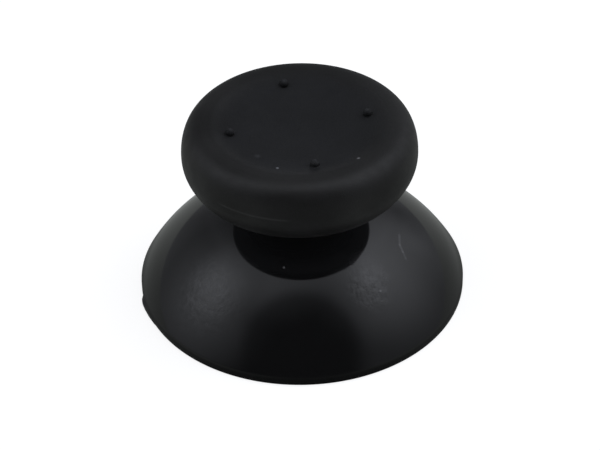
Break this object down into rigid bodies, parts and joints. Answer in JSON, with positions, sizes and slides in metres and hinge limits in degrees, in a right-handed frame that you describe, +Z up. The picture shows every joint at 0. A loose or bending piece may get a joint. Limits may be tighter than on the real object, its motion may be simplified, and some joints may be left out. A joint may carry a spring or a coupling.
{
  "type": "thumbstick cap",
  "caption": "Controller thumbstick cap: glossy domed skirt, short neck, matte rubber thumb pad with a dished top and raised grip dots, and a double-D socket underneath.",
  "frame": {"origin": "centre of the skirt's rim plane, which the cap stands on", "axes": "+Z up through the neck and pad along the socket's axis; the socket's two flats face +X and -X, and the grip dots lie on +X, +Y, -X and -Y"},
  "size_m": [0.025, 0.025, 0.0151],
  "materials": {
    "body_plastic": "glossy black, lightly scuffed",
    "pad_rubber": "matte black, fine grain"
  },
  "bodies": {
    "root": {"stick_body": "body_plastic", "thumb_pad": "pad_rubber"}
  },
  "joints": []
}
